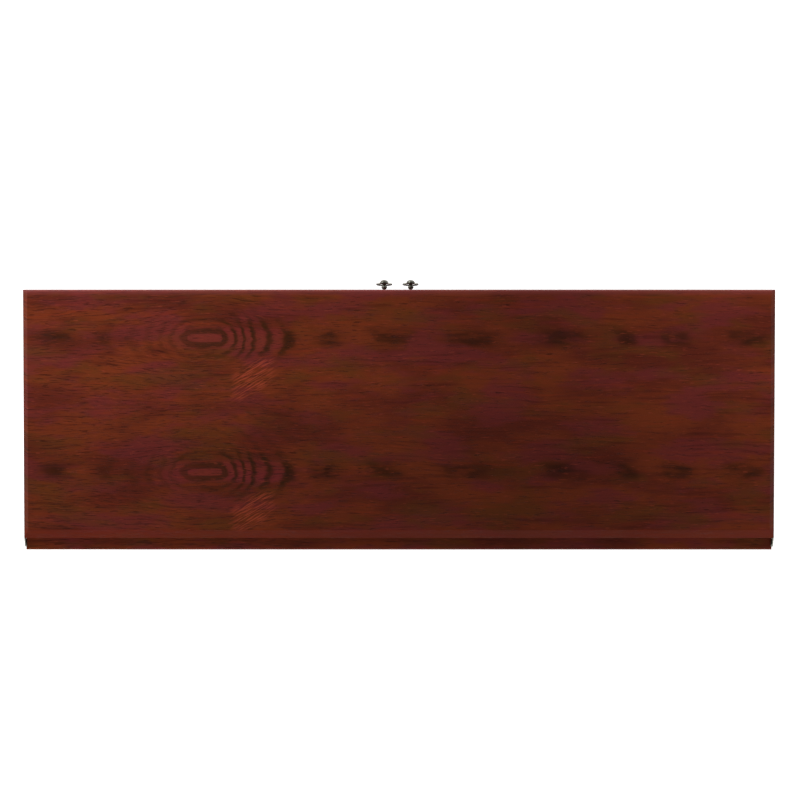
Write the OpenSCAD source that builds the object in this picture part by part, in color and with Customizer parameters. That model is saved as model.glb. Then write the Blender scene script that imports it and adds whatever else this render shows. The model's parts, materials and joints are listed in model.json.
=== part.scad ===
// Gaming table: a console cabinet with a flip-over top that doubles the playing surface.
// Millimetres, +Z up. Origin: middle of the overall box, on the floor. Front faces -Y.

/* [Top] */
// Width of the top
top_w = 1219; // [1100:1:1300]
// Depth of the upper leaf
leaf_d = 403.5; // [380:0.5:430]
// Thickness of both top boards
board_t = 19; // [18:0.5:22]
// How much of the fixed top shows behind the leaf
strip_d = 20.5; // [19:0.5:22]
// Height of the closed top above the floor
table_h = 762; // [740:1:780]
// Width of the bevel along the leaf's rear edge
rear_bevel_w = 13; // [8:0.5:14]
// Width of the bevel along the leaf's ends
end_bevel_w = 7; // [3:0.5:8]
// Depth of the leaf's bevels
bevel_h = 4; // [2:0.5:4]
// Radius of the leaf's front edge
front_round = 4; // [2:0.5:6]

/* [Cabinet] */
// How far the top reaches out past the doors
front_overhang = 12; // [8:1:20]
// How far the top reaches out past the cabinet's back
rear_overhang = 22; // [15:1:30]
// How far the top reaches out past each corner post
side_overhang = 20; // [15:1:40]
// Width and depth of a corner post
post_w = 45; // [40:1:50]
// Width of a post's foot
foot_w = 30; // [24:1:36]
// Height of the lower rails' underside
base_z = 100; // [80:1:140]
// Height of a lower rail
low_rail_h = 40; // [35:1:50]
// Thickness of the rails and doors
frame_t = 20; // [18:0.5:22]
// Height of the front upper rail
front_rail_h = 48; // [44:1:60]
// Height of the side and rear upper rails
side_rail_h = 68; // [64:1:80]
// Height of the shelves' top face
shelf_z = 418; // [350:1:480]

/* [Doors] */
// Width of the door stiles
stile_w = 60; // [50:1:70]
// Height of the door rails
door_rail_h = 70; // [60:1:90]
// Gap around the doors
door_gap = 1.5; // [1:0.1:2.5]
// Height of a door hinge
hinge_h = 64; // [50:1:80]

/* [Ring pulls] */
// Distance between the two pulls
pull_spacing = 45.3; // [40:0.1:60]
// Height of the pulls above the floor
pull_z = 470; // [420:1:520]
// How far the pulls reach out past the top
pull_reach = 15; // [10:0.5:16]
// Outer diameter of a ring
ring_od = 28; // [26:0.5:30]
// Diameter of a ring's wire
ring_wire = 2.4; // [2:0.1:2.6]
// Lean of a ring at rest, degrees
ring_lean = 8; // [4:0.5:12]

/* [Lopers] */
// Travel of a loper
loper_travel = 300; // [250:5:300]
// Distance of a loper from the table's middle
loper_x = 400; // [300:5:450]
// Width of a loper
loper_w = 28; // [24:1:32]
// Height of a loper
loper_h = 40; // [34:1:42]

/* [Hidden] */
$fn = 48;
cut = 1;      // how far a cutting shape reaches past the face it opens
LEFT = -1;
RIGHT = 1;

// Colours
wood = [0.33, 0.14, 0.10];
inside_wood = [0.42, 0.20, 0.14];
baize = [0.10, 0.30, 0.18];
pewter = [0.34, 0.34, 0.31];
brass = [0.62, 0.50, 0.28];
felt = [0.20, 0.16, 0.14];
nylon = [0.15, 0.13, 0.12];

// Places across the depth
total_d = pull_reach + leaf_d + strip_d;
dome_y = -total_d / 2;
leaf_y0 = dome_y + pull_reach;
leaf_y1 = leaf_y0 + leaf_d;
bed_y1 = leaf_y1 + strip_d;
face_y = leaf_y0 + front_overhang;
door_back_y = face_y + frame_t;
cab_y1 = bed_y1 - rear_overhang;
post_front_y1 = face_y + post_w;
post_rear_y0 = cab_y1 - post_w;
rear_rail_y0 = cab_y1 - frame_t;

// Places across the width
half_w = top_w / 2;
bed_inset = 0.5;             // the bed's ends stand this far inside the leaf's
bed_x = half_w - bed_inset;
post_x1 = half_w - side_overhang;
post_x0 = post_x1 - post_w;
side_setback = 3;            // the side rails stand this far inside the posts' outer faces
side_x1 = post_x1 - side_setback;
side_x0 = side_x1 - frame_t;

// Heights
leaf_gap = 1;                // room for the two baize cloths when the top is closed
leaf_z0 = table_h - board_t;
bed_z1 = leaf_z0 - leaf_gap;
bed_z0 = bed_z1 - board_t;
low_rail_z1 = base_z + low_rail_h;
front_rail_z0 = bed_z0 - front_rail_h;
side_rail_z0 = bed_z0 - side_rail_h;
glide_h = 4;
glide_r = 12;
glide_nail_r = 2;
glide_nail_h = 22;
panel_t = 6;
groove_d = 8;
floor_t = 18;
divider_t = 18;
shelf_t = 18;
tenon_t = 10;
tenon_l = 22;
tenon_shoulder = 8;
bed_round = 2;               // eased edges of the bed
under_round = 1.5;           // eased lower edges of the leaf
post_round = 3;
baize_t = 1.2;
baize_proud = 0.4;
baize_border = 40;
baize_joint_border = 23;     // wood left between the baize and the joint of the open top

// Flip hinge: both boards turn about this line, so the open leaf lies level with the bed
flip_play = 0.2;             // half the gap between the open leaf and the bed
flip_y = bed_y1 - strip_d / 2 + flip_play;
flip_z = bed_z1 + leaf_gap / 2;
lap_t = 1.5;                 // thickness of each half of the lapped knuckle
lap_gap = 0.1;
eye_r = 5;
flip_pin_r = 2;
run_fit = 0.05;
arm_t = 2 * lap_t;
arm_l = 62;
arm_h = 10;
arm_low = 5.5;               // underside of the arm above the hinge line
web_l = 8;                   // part of the arm's web that lies in the leaf
plate_l = 70;
plate_h = 12;
plate_low = 16;              // underside of the bed plate below the hinge line
notch_l = strip_d / 2;       // length of the bed's end notch ahead of the hinge line
plate_x0 = half_w - 2 * lap_t - lap_gap;
plate_x1 = plate_x0 + lap_t;
plate_screw_l = 22;
plate_screws_in = [10, 48];  // distances of a plate's screws from its front end
leaf_screw_l = 24;
arm_screws_in = [2, 42];     // distances of an arm's screws from its round end's middle
web_turn = 50;               // where the web leaves the upper side of the eye, degrees

// Screws
screw_head_r = 3.2;
screw_shank_r = 1.6;
screw_head_h = 1.6;
screw_slot_w = 0.8;
screw_slot_d = 0.6;

// Doors
door_x0 = door_gap / 2;
door_x1 = post_x0 - door_gap;
door_z0 = low_rail_z1 + door_gap;
door_z1 = front_rail_z0 - door_gap;
hinge_x = post_x0 - door_gap / 2;
hinge_out = 3.5;             // the hinge line stands this far in front of the doors
hinge_y = face_y - hinge_out;
knuckle_r = 3;
hinge_pin_r = 1.4;
hinge_leaf_t = 1.3;
hinge_leaf_w = 17;
knuckle_gap = 0.4;
hinge_end = 90;              // distance of a hinge's middle from the door's end
finial_r = 2.6;
finial_tip_r = 2.1;
hinge_zs = [door_z0 + hinge_end, door_z1 - hinge_end];
hinge_screw_in = 9;
hinge_screw_l = 15;
mid_knuckle_h = hinge_h / 3;
field_setback = 2;           // the panel's raised field stands this far behind the frame's face
panel_slope = 30;
panel_flat = 4;
panel_x0 = door_x0 + stile_w - groove_d;
panel_x1 = door_x1 - stile_w + groove_d;
panel_z0 = door_z0 + door_rail_h - groove_d;
panel_z1 = door_z1 - door_rail_h + groove_d;
groove_y0 = face_y + (frame_t - panel_t) / 2;
door_tenon_shoulder = 16;
strike_w = 30;
strike_h = 15;
strike_t = 1.4;
strike_x0 = 16;
strike_drop = 4;
strike_z = door_z1 - strike_drop - strike_h / 2;
strike_screw_l = 12;
catch_h = 45;
catch_d = 22;
catch_clear = 0.35;

// Ring pulls
pull_x = pull_spacing / 2;
pull_peg_r = 2;
pull_peg_l = 14;
rosette_r = 8;
rosette_t = 2.2;
rosette_step_r = 5;
rosette_step_t = 1.4;
stem_r = 1.8;
dome_r = 7.1;
dome_rim = 0.6;
neck_r = 2.3;
neck_l = 3.5;
bulb_front_r = 4.8;
bulb_back_r = 3.5;
bulb_l = 5;
lug_drop = 8.7;
lug_r = 3;
lug_w = 4;
lug_hole_r = 1.5;
lug_web = 3.2;
ring_r = (ring_od - ring_wire) / 2;
neck_y0 = dome_y + dome_r + dome_rim;
neck_y1 = neck_y0 + neck_l;
bulb_y1 = neck_y1 + bulb_l;
ring_y = (neck_y0 + neck_y1) / 2;
ring_z = pull_z - lug_drop;

// Lopers and their guides
loper_top_gap = 0.6;         // room between a loper and the bed
loper_front_gap = 12;        // room between a loper and the door ahead of it
loper_tail_gap = 1;          // a loper's end stands this far inside the rear rail's face
loper_z1 = bed_z0 - loper_top_gap;
loper_z0 = loper_z1 - loper_h;
loper_y0 = door_back_y + loper_front_gap;
loper_y1 = cab_y1 - loper_tail_gap;
stop_w = 40;
stop_clear = 0.3;
stop_y1 = rear_rail_y0 - loper_travel - stop_clear;
side_play = 1;
cheek_in = stop_w / 2 + side_play / 2;
cheek_t = 8;
guide_floor_t = 8;
run_play = 0.2;
loper_knob_r = 8;
loper_neck_r = 4;
loper_neck_l = 4;
pad_w = 20;
pad_l = 26;
pad_t = 1.2;
pad_inset = 6;
pad_proud = 0.5;

// Divider and shelves
divider_front_gap = 0.5;
panel_face_y = rear_rail_y0 + (frame_t - panel_t) / 2;
shelf_play = 1;
shelf_front_gap = 6;
shelf_x0 = divider_t / 2 + shelf_play;
shelf_x1 = post_x0 - shelf_play;
shelf_y0 = door_back_y + shelf_front_gap;
shelf_y1 = panel_face_y - shelf_play;
pin_r = 2.5;
pin_in = 10;
pin_out = 8;
pin_inset = 12;
pin_drop = 0.05;

// Corner blocks
block_long = 40;
block_short = post_w - frame_t;
block_h = 28;
block_screw_l = 42;
block_screw_in = 9;

function mirrored(s) = s < 0 ? [1, 0, 0] : [0, 0, 0];

module on_side(s) { mirror(mirrored(s)) children(); }

module block(x0, x1, y0, y1, z0, z1) { translate([x0, y0, z0]) cube([x1 - x0, y1 - y0, z1 - z0]); }

// A rod along X, starting at the given end
module rod_x(r, l) { rotate([0, 90, 0]) cylinder(r = r, h = l); }

// A rod along -Y, starting at the given end
module rod_front(r, l) { rotate([90, 0, 0]) cylinder(r = r, h = l); }

// Draws a profile of (depth, height) through the width from x0 to x1
module across(x0, x1) { translate([x0, 0, 0]) rotate([90, 0, 90]) linear_extrude(x1 - x0) children(); }

// Draws a profile of (width, height) through the depth from y0 to y1
module deep(y0, y1) { translate([0, y1, 0]) rotate([90, 0, 0]) linear_extrude(y1 - y0) children(); }

// The piece that rounds off one corner of a profile; su and sv point into the board
module corner_cut(u, v, su, sv, r) {
    translate([u, v]) mirror([su < 0 ? 1 : 0, 0]) mirror([0, sv < 0 ? 1 : 0])
        difference() {
            translate([-cut, -cut]) square([r + cut, r + cut]);
            translate([r, r]) circle(r);
        }
}

// A rectangle with its two upper corners and its two lower corners rounded
module edge_profile(u0, u1, v0, v1, start_r, end_r, low_r) {
    difference() {
        translate([u0, v0]) square([u1 - u0, v1 - v0]);
        corner_cut(u0, v1, 1, -1, start_r);
        corner_cut(u1, v1, -1, -1, end_r);
        corner_cut(u0, v0, 1, 1, low_r);
        corner_cut(u1, v0, -1, 1, low_r);
    }
}

// The piece that bevels one upper corner of a profile; side points out of the board
module bevel_cut(u, v, side, w) {
    polygon([[u, v - bevel_h], [u - side * w, v], [u - side * w, v + cut], [u + side * cut, v + cut],
        [u + side * cut, v - bevel_h]]);
}

// A countersunk wood screw: head at the origin, shank along -Z
module screw(l) {
    difference() {
        screw_room(l);
        translate([-screw_head_r, -screw_slot_w / 2, -screw_slot_d])
            cube([2 * screw_head_r, screw_slot_w, screw_slot_d + cut]);
    }
}

// The room that a screw takes up
module screw_room(l) {
    translate([0, 0, -screw_head_h]) cylinder(r1 = screw_shank_r, r2 = screw_head_r, h = screw_head_h);
    translate([0, 0, -l]) cylinder(r = screw_shank_r, h = l - screw_head_h);
}

// ---- Corner posts and their joints ----

module front_tenon(z0, z1) {
    block(post_x0 - cut, post_x0 + tenon_l, face_y + (frame_t - tenon_t) / 2,
        face_y + (frame_t + tenon_t) / 2, z0 + tenon_shoulder, z1 - tenon_shoulder);
}

module rear_tenon(z0, z1) {
    block(post_x0 - cut, post_x0 + tenon_l, rear_rail_y0 + (frame_t - tenon_t) / 2,
        rear_rail_y0 + (frame_t + tenon_t) / 2, z0 + tenon_shoulder, z1 - tenon_shoulder);
}

// Tenons of a side rail, reaching into the front and the rear post
module side_tenons(z0, z1) {
    block(side_x0 + (frame_t - tenon_t) / 2, side_x0 + (frame_t + tenon_t) / 2,
        post_front_y1 - tenon_l, post_rear_y0 + tenon_l, z0 + tenon_shoulder, z1 - tenon_shoulder);
}

module side_panel_shape() {
    block(side_x0 + (frame_t - panel_t) / 2, side_x0 + (frame_t + panel_t) / 2,
        post_front_y1 - groove_d, post_rear_y0 + groove_d,
        low_rail_z1 - groove_d, side_rail_z0 + groove_d);
}

module back_panel_shape() {
    block(-post_x0 - groove_d, post_x0 + groove_d,
        rear_rail_y0 + (frame_t - panel_t) / 2, rear_rail_y0 + (frame_t + panel_t) / 2,
        low_rail_z1 - groove_d, side_rail_z0 + groove_d);
}

// A post with its two inner faces tapering below the rails; y_in points towards the cabinet's inside
module post_blank(y_out, y_in) {
    foot_in = post_w - foot_w;
    intersection() {
        deep(min(y_out, y_out + y_in * post_w) - cut, max(y_out, y_out + y_in * post_w) + cut)
            polygon([[post_x1, glide_h], [post_x1, bed_z0], [post_x0, bed_z0], [post_x0, base_z],
                [post_x0 + foot_in, glide_h]]);
        across(post_x0 - cut, post_x1 + cut)
            polygon([[y_out, glide_h], [y_out, bed_z0], [y_out + y_in * post_w, bed_z0],
                [y_out + y_in * post_w, base_z], [y_out + y_in * foot_w, glide_h]]);
        translate([0, 0, glide_h]) linear_extrude(bed_z0 - glide_h)
            edge_profile(post_x0, post_x1, min(y_out, y_out + y_in * post_w),
                max(y_out, y_out + y_in * post_w), post_round / 2, post_round, post_round / 2);
    }
}

module glide_nail_room() {
    for (y = [face_y + foot_w / 2, cab_y1 - foot_w / 2])
        translate([post_x1 - foot_w / 2, y, 0]) cylinder(r = glide_nail_r, h = glide_nail_h);
}
module front_post() {
    difference() {
        post_blank(face_y, 1);
        front_tenon(front_rail_z0, bed_z0);
        front_tenon(base_z, low_rail_z1);
        side_tenons(side_rail_z0, bed_z0);
        side_tenons(base_z, low_rail_z1);
        side_panel_shape();
        shelf_pins_right();
        hinge_cabinet_room();
        glide_nail_room();
    }
}

module rear_post() {
    difference() {
        post_blank(cab_y1, -1);
        rear_tenon(side_rail_z0, bed_z0);
        rear_tenon(base_z, low_rail_z1);
        side_tenons(side_rail_z0, bed_z0);
        side_tenons(base_z, low_rail_z1);
        side_panel_shape();
        back_panel_shape();
        shelf_pins_right();
        glide_nail_room();
    }
}

module leg_front_left() { color(wood) on_side(LEFT) front_post(); }
module leg_front_right() { color(wood) on_side(RIGHT) front_post(); }
module leg_rear_left() { color(wood) on_side(LEFT) rear_post(); }
module leg_rear_right() { color(wood) on_side(RIGHT) rear_post(); }

module glides() {
    color(nylon) for (s = [LEFT, RIGHT], y = [face_y + foot_w / 2, cab_y1 - foot_w / 2])
        on_side(s) translate([post_x1 - foot_w / 2, y, 0]) {
            cylinder(r = glide_r, h = glide_h);
            cylinder(r = glide_nail_r, h = glide_nail_h);
        }
}

// ---- Rails ----

module front_rail(z0, z1) {
    block(-post_x0, post_x0, face_y, door_back_y, z0, z1);
    for (s = [LEFT, RIGHT]) on_side(s) front_tenon(z0, z1);
}

module front_rail_upper() { color(wood) front_rail(front_rail_z0, bed_z0); }
module front_rail_lower() { color(wood) front_rail(base_z, low_rail_z1); }

module rear_rail(z0, z1) {
    block(-post_x0, post_x0, rear_rail_y0, cab_y1, z0, z1);
    for (s = [LEFT, RIGHT]) on_side(s) rear_tenon(z0, z1);
}

module rear_rail_upper() {
    color(wood) difference() {
        rear_rail(side_rail_z0, bed_z0);
        back_panel_shape();
        for (s = [LEFT, RIGHT]) on_side(s)
            block(loper_x - loper_w / 2 - side_play / 2, loper_x + loper_w / 2 + side_play / 2,
                rear_rail_y0 - cut, cab_y1 + cut, loper_z0 - run_play, bed_z0 + cut);
    }
}

module rear_rail_lower() {
    color(wood) difference() {
        rear_rail(base_z, low_rail_z1);
        back_panel_shape();
    }
}

module side_rail(z0, z1) {
    difference() {
        union() {
            block(side_x0, side_x1, post_front_y1, post_rear_y0, z0, z1);
            side_tenons(z0, z1);
        }
        side_panel_shape();
    }
}

module side_rail_upper_left() { color(wood) on_side(LEFT) side_rail(side_rail_z0, bed_z0); }
module side_rail_upper_right() { color(wood) on_side(RIGHT) side_rail(side_rail_z0, bed_z0); }
module side_rail_lower_left() { color(wood) on_side(LEFT) side_rail(base_z, low_rail_z1); }
module side_rail_lower_right() { color(wood) on_side(RIGHT) side_rail(base_z, low_rail_z1); }

module side_panel_left() { color(wood) on_side(LEFT) side_panel_shape(); }
module side_panel_right() { color(wood) on_side(RIGHT) side_panel_shape(); }
module back_panel() { color(inside_wood) back_panel_shape(); }

// ---- Inside of the cabinet ----

module cabinet_floor() {
    color(inside_wood) difference() {
        block(-side_x0, side_x0, door_back_y, rear_rail_y0, low_rail_z1 - floor_t, low_rail_z1);
        for (s = [LEFT, RIGHT]) on_side(s) {
            block(post_x0, post_x1, face_y, post_front_y1, base_z, low_rail_z1 + cut);
            block(post_x0, post_x1, post_rear_y0, cab_y1, base_z, low_rail_z1 + cut);
        }
    }
}

module divider() {
    color(inside_wood) difference() {
        block(-divider_t / 2, divider_t / 2, door_back_y + divider_front_gap, panel_face_y,
            low_rail_z1, bed_z0);
        block(-post_x0, post_x0, rear_rail_y0, cab_y1, side_rail_z0, bed_z0 + cut);
        for (s = [LEFT, RIGHT]) on_side(s) shelf_pins_right();
    }
}

module shelf() { block(shelf_x0, shelf_x1, shelf_y0, shelf_y1, shelf_z - shelf_t, shelf_z); }
module shelf_left() { color(inside_wood) on_side(LEFT) shelf(); }
module shelf_right() { color(inside_wood) on_side(RIGHT) shelf(); }

// The four pins under the right-hand shelf
module shelf_pins_right() {
    for (y = [shelf_y0 + pin_inset, shelf_y1 - pin_inset]) {
        translate([post_x0 - pin_out, y, shelf_z - shelf_t - pin_r - pin_drop])
            rod_x(pin_r, pin_out + pin_in);
        translate([divider_t / 2 - pin_in / 2, y, shelf_z - shelf_t - pin_r - pin_drop])
            rod_x(pin_r, pin_in / 2 + pin_out);
    }
}

module shelf_pins() { color(brass) for (s = [LEFT, RIGHT]) on_side(s) shelf_pins_right(); }

// A block glued into an upper corner; y is the rail's inner face and dir points away from it
module corner_block(y, dir) {
    translate([0, 0, bed_z0 - block_h]) linear_extrude(block_h)
        polygon([[post_x0, y], [post_x0, y + dir * block_short], [post_x0 - block_long, y]]);
}

module corner_blocks() {
    color(inside_wood) for (s = [LEFT, RIGHT]) on_side(s) difference() {
        union() {
            corner_block(door_back_y, 1);
            corner_block(rear_rail_y0, -1);
        }
        at_block_screws() screw_room(block_screw_l);
    }
}

// Places every right-hand screw that goes up into the bed
module at_block_screws() {
    for (place = [[door_back_y, 1], [rear_rail_y0, -1]])
        translate([post_x0 - block_screw_in, place[0] + place[1] * block_screw_in, bed_z0 - block_h])
            rotate([180, 0, 0]) children();
}

// ---- Loper guides ----

module loper_guide() {
    for (s = [LEFT, RIGHT]) translate([loper_x, 0, 0]) on_side(s)
        block(cheek_in, cheek_in + cheek_t, door_back_y, rear_rail_y0, loper_z0 - run_play, bed_z0);
    block(loper_x - cheek_in - cheek_t, loper_x + cheek_in + cheek_t, door_back_y, rear_rail_y0,
        loper_z0 - run_play - guide_floor_t, loper_z0 - run_play);
}

module loper_guide_left() { color(inside_wood) on_side(LEFT) loper_guide(); }
module loper_guide_right() { color(inside_wood) on_side(RIGHT) loper_guide(); }

module loper() {
    difference() {
        union() {
            block(loper_x - loper_w / 2, loper_x + loper_w / 2, loper_y0, loper_y1, loper_z0, loper_z1);
            block(loper_x - stop_w / 2, loper_x + stop_w / 2, loper_y0, stop_y1, loper_z0, loper_z1);
            translate([loper_x, loper_y1 + loper_neck_l, (loper_z0 + loper_z1) / 2]) {
                rod_front(loper_neck_r, loper_neck_l + cut);
                sphere(loper_knob_r);
            }
        }
        loper_pad_shape();
    }
}

module loper_pad_shape() {
    block(loper_x - pad_w / 2, loper_x + pad_w / 2, loper_y1 - pad_inset - pad_l,
        loper_y1 - pad_inset, loper_z1 + pad_proud - pad_t, loper_z1 + pad_proud);
}

module loper_left() { color(wood) on_side(LEFT) loper(); }
module loper_right() { color(wood) on_side(RIGHT) loper(); }
module loper_left_pad() { color(felt) on_side(LEFT) loper_pad_shape(); }
module loper_right_pad() { color(felt) on_side(RIGHT) loper_pad_shape(); }

// ---- The fixed top (bed) ----

module bed() {
    color(wood) difference() {
        intersection() {
            across(-bed_x, bed_x)
                edge_profile(leaf_y0, bed_y1, bed_z0, bed_z1, bed_round, bed_round, bed_round);
            deep(leaf_y0, bed_y1)
                edge_profile(-bed_x, bed_x, bed_z0, bed_z1, bed_round, bed_round, bed_round);
        }
        bed_baize_shape();
        for (s = [LEFT, RIGHT]) on_side(s) {
            block(plate_x1, half_w + cut, flip_y - notch_l, bed_y1 + cut, bed_z0 - cut, bed_z1 + cut);
            bed_plate_room();
            at_plate_screws() screw_room(plate_screw_l);
            at_block_screws() screw_room(block_screw_l);
        }
    }
}

module bed_baize_shape() {
    block(-half_w + baize_border, half_w - baize_border, leaf_y0 + baize_border,
        bed_y1 - baize_joint_border, bed_z1 - baize_t + baize_proud, bed_z1 + baize_proud);
}

module bed_baize() { color(baize) bed_baize_shape(); }

// The bed plate's outline in (depth, height) from the hinge line
module plate_outline() {
    translate([-plate_l, -plate_low]) square([plate_l + eye_r, plate_h]);
    translate([-eye_r, -plate_low + cut]) square([2 * eye_r, plate_low - cut]);
    circle(eye_r);
}

module bed_plate_room() {
    translate([0, flip_y, flip_z]) {
        across(plate_x0, half_w + cut) translate([-plate_l, -plate_low])
            square([plate_l - notch_l, plate_h]);
        across(plate_x0, plate_x1 + cut) plate_outline();
    }
}

module bed_plate() {
    difference() {
        translate([0, flip_y, flip_z]) {
            across(plate_x0, bed_x) translate([-plate_l, -plate_low]) square([plate_l - notch_l, plate_h]);
            across(plate_x0, plate_x1) plate_outline();
        }
        translate([plate_x0 - cut, flip_y, flip_z]) rod_x(flip_pin_r, 2 * lap_t + 2 * cut);
        at_plate_screws() screw_room(plate_screw_l);
    }
}

// Places the screws of a bed plate, head outwards
module at_plate_screws() {
    for (u = plate_screws_in)
        translate([bed_x, flip_y - plate_l + u, flip_z - plate_low + plate_h / 2])
            rotate([0, 90, 0]) children();
}

module flip_hinge_plates() { color(pewter) for (s = [LEFT, RIGHT]) on_side(s) bed_plate(); }

module flip_hinge_pins() {
    color(pewter) for (s = [LEFT, RIGHT]) on_side(s)
        translate([plate_x0, flip_y, flip_z]) rod_x(flip_pin_r, half_w - lap_gap - plate_x0);
}

// ---- The flip-over leaf ----

// The leaf's board, bevelled along its rear edge and both ends
module leaf_blank() {
    intersection() {
        across(-half_w, half_w) difference() {
            edge_profile(leaf_y0, leaf_y1, leaf_z0, table_h, front_round, under_round, under_round);
            bevel_cut(leaf_y1, table_h, RIGHT, rear_bevel_w);
        }
        deep(leaf_y0, leaf_y1) difference() {
            edge_profile(-half_w, half_w, leaf_z0, table_h, under_round, under_round, under_round);
            for (s = [LEFT, RIGHT]) bevel_cut(s * half_w, table_h, s, end_bevel_w);
        }
    }
}

module leaf() {
    color(wood) difference() {
        leaf_blank();
        leaf_baize_shape();
        for (s = [LEFT, RIGHT]) on_side(s) {
            arm_room();
            at_arm_screws() screw_room(leaf_screw_l);
        }
    }
}

module leaf_baize_shape() {
    block(-half_w + baize_border, half_w - baize_border, leaf_y0 + baize_border,
        leaf_y1 + 2 * flip_play - baize_joint_border, leaf_z0 - baize_proud,
        leaf_z0 - baize_proud + baize_t);
}

module leaf_baize() { color(baize) leaf_baize_shape(); }

// The arm's bar that is let into the leaf's end
module arm_bar() {
    edge_u = leaf_y1 - flip_y;
    translate([edge_u - arm_l, arm_low]) square([arm_l, arm_h]);
    translate([edge_u - arm_l, arm_low + arm_h / 2]) circle(arm_h / 2);
}

// The web from the bar round to the eye, with its lower side tangent to the eye
module arm_web() {
    edge_u = leaf_y1 - flip_y;
    root = [edge_u - web_l, arm_low];
    reach = norm(root);
    low_angle = atan2(root[1], root[0]) + acos(eye_r / reach);
    polygon([root, [root[0], arm_low + arm_h], [edge_u, arm_low + arm_h],
        eye_r * [cos(web_turn), sin(web_turn)], [0, 0], eye_r * [cos(low_angle), sin(low_angle)]]);
    circle(eye_r);
}

module arm_room() {
    translate([0, flip_y, flip_z]) {
        across(half_w - arm_t, half_w + cut) arm_bar();
        across(half_w - lap_t, half_w + cut) arm_web();
    }
}

module arm() {
    difference() {
        translate([0, flip_y, flip_z]) {
            across(half_w - arm_t, half_w) arm_bar();
            across(half_w - lap_t, half_w) arm_web();
        }
        translate([half_w - arm_t, flip_y, flip_z]) rod_x(flip_pin_r + run_fit, arm_t + cut);
        at_arm_screws() screw_room(leaf_screw_l);
    }
}

module at_arm_screws() {
    for (u = arm_screws_in)
        translate([half_w, leaf_y1 - arm_l + u, flip_z + arm_low + arm_h / 2])
            rotate([0, 90, 0]) children();
}

module flip_hinge_arms() { color(pewter) for (s = [LEFT, RIGHT]) on_side(s) arm(); }
module leaf_screws() {
    color(pewter) for (s = [LEFT, RIGHT]) on_side(s) at_arm_screws() screw(leaf_screw_l);
}

// ---- Doors ----

// The raised panel's section: u runs from edge to edge, v from the back to the front
module panel_profile(u0, u1) {
    back = -groove_y0 - panel_t;
    tongue = -groove_y0;
    field = -face_y - field_setback;
    flat = groove_d + panel_flat;
    polygon([[u0, back], [u1, back], [u1, tongue], [u1 - flat, tongue], [u1 - flat - panel_slope, field],
        [u0 + flat + panel_slope, field], [u0 + flat, tongue], [u0, tongue]]);
}

module door_panel() {
    intersection() {
        translate([0, 0, panel_z0]) mirror([0, 1, 0]) linear_extrude(panel_z1 - panel_z0)
            panel_profile(panel_x0, panel_x1);
        translate([panel_x0, 0, 0]) rotate([0, 90, 0]) mirror([1, 0, 0]) mirror([0, 1, 0])
            linear_extrude(panel_x1 - panel_x0) panel_profile(panel_z0, panel_z1);
    }
}

// The room in the frame for the panel's tongues
module panel_room() {
    block(panel_x0, panel_x1, groove_y0, groove_y0 + panel_t, panel_z0, panel_z1);
}

module door_tenons() {
    for (z = [door_z0, door_z1 - door_rail_h])
        block(door_x0 + stile_w - tenon_l, door_x1 - stile_w + tenon_l, groove_y0, groove_y0 + panel_t,
            z + door_tenon_shoulder, z + door_rail_h - door_tenon_shoulder);
}

module door_stiles() {
    difference() {
        union() {
            block(door_x0, door_x0 + stile_w, face_y, door_back_y, door_z0, door_z1);
            block(door_x1 - stile_w, door_x1, face_y, door_back_y, door_z0, door_z1);
        }
        panel_room();
        door_tenons();
        hinge_door_room();
        strike_shape();
        translate([strike_x0 + strike_w / 2, door_back_y, strike_z]) rotate([-90, 0, 0])
            screw_room(strike_screw_l);
        translate([pull_x, face_y + pull_peg_l, pull_z]) rod_front(pull_peg_r, pull_peg_l + cut);
    }
}

module door_rails() {
    difference() {
        union() {
            for (z = [door_z0, door_z1 - door_rail_h])
                block(door_x0 + stile_w, door_x1 - stile_w, face_y, door_back_y, z, z + door_rail_h);
            door_tenons();
        }
        difference() {
            panel_room();
            door_tenons();
        }
    }
}

// The strike plate that meets the magnetic catch, flush in the door's back
module strike_shape() {
    block(strike_x0, strike_x0 + strike_w, door_back_y - strike_t, door_back_y, strike_z - strike_h / 2,
        strike_z + strike_h / 2);
}

module door_strike() {
    difference() {
        strike_shape();
        translate([strike_x0 + strike_w / 2, door_back_y, strike_z]) rotate([-90, 0, 0])
            screw_room(strike_screw_l);
    }
}

module door_catches() {
    color(nylon) for (s = [LEFT, RIGHT]) on_side(s) {
        block(strike_x0, strike_x0 + strike_w, door_back_y, door_back_y + catch_d, front_rail_z0,
            front_rail_z0 + catch_h - 2 * strike_h);
        block(strike_x0, strike_x0 + strike_w, door_back_y + catch_clear, door_back_y + catch_d,
            front_rail_z0 - 2 * strike_h + strike_drop, front_rail_z0);
    }
}

// Butt hinges: z is the middle of the hinge
module hinge_leaf(x0, z, y1) {
    block(x0, x0 + hinge_leaf_t, face_y + knuckle_gap, y1, z - hinge_h / 2, z + hinge_h / 2);
}

module hinge_cabinet_room() {
    for (z = hinge_zs) {
        block(post_x0 - cut, post_x0 + hinge_leaf_t, face_y - cut, face_y + hinge_leaf_w, z - hinge_h / 2,
            z + hinge_h / 2);
        translate([post_x0, face_y + hinge_screw_in, z]) at_hinge_screws(1) screw_room(hinge_screw_l);
    }
}

module hinge_door_room() {
    for (z = hinge_zs) {
        block(door_x1 - hinge_leaf_t, door_x1 + cut, face_y - cut, face_y + hinge_leaf_w, z - hinge_h / 2,
            z + hinge_h / 2);
        translate([door_x1, face_y + hinge_screw_in, z]) at_hinge_screws(-1) screw_room(hinge_screw_l);
    }
}

// Two screws in a hinge leaf, driven towards +X (dir 1) or -X (dir -1)
module at_hinge_screws(dir) {
    for (dz = [-hinge_h / 3, hinge_h / 3]) translate([0, 0, dz]) rotate([0, -90 * dir, 0]) children();
}

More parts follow.
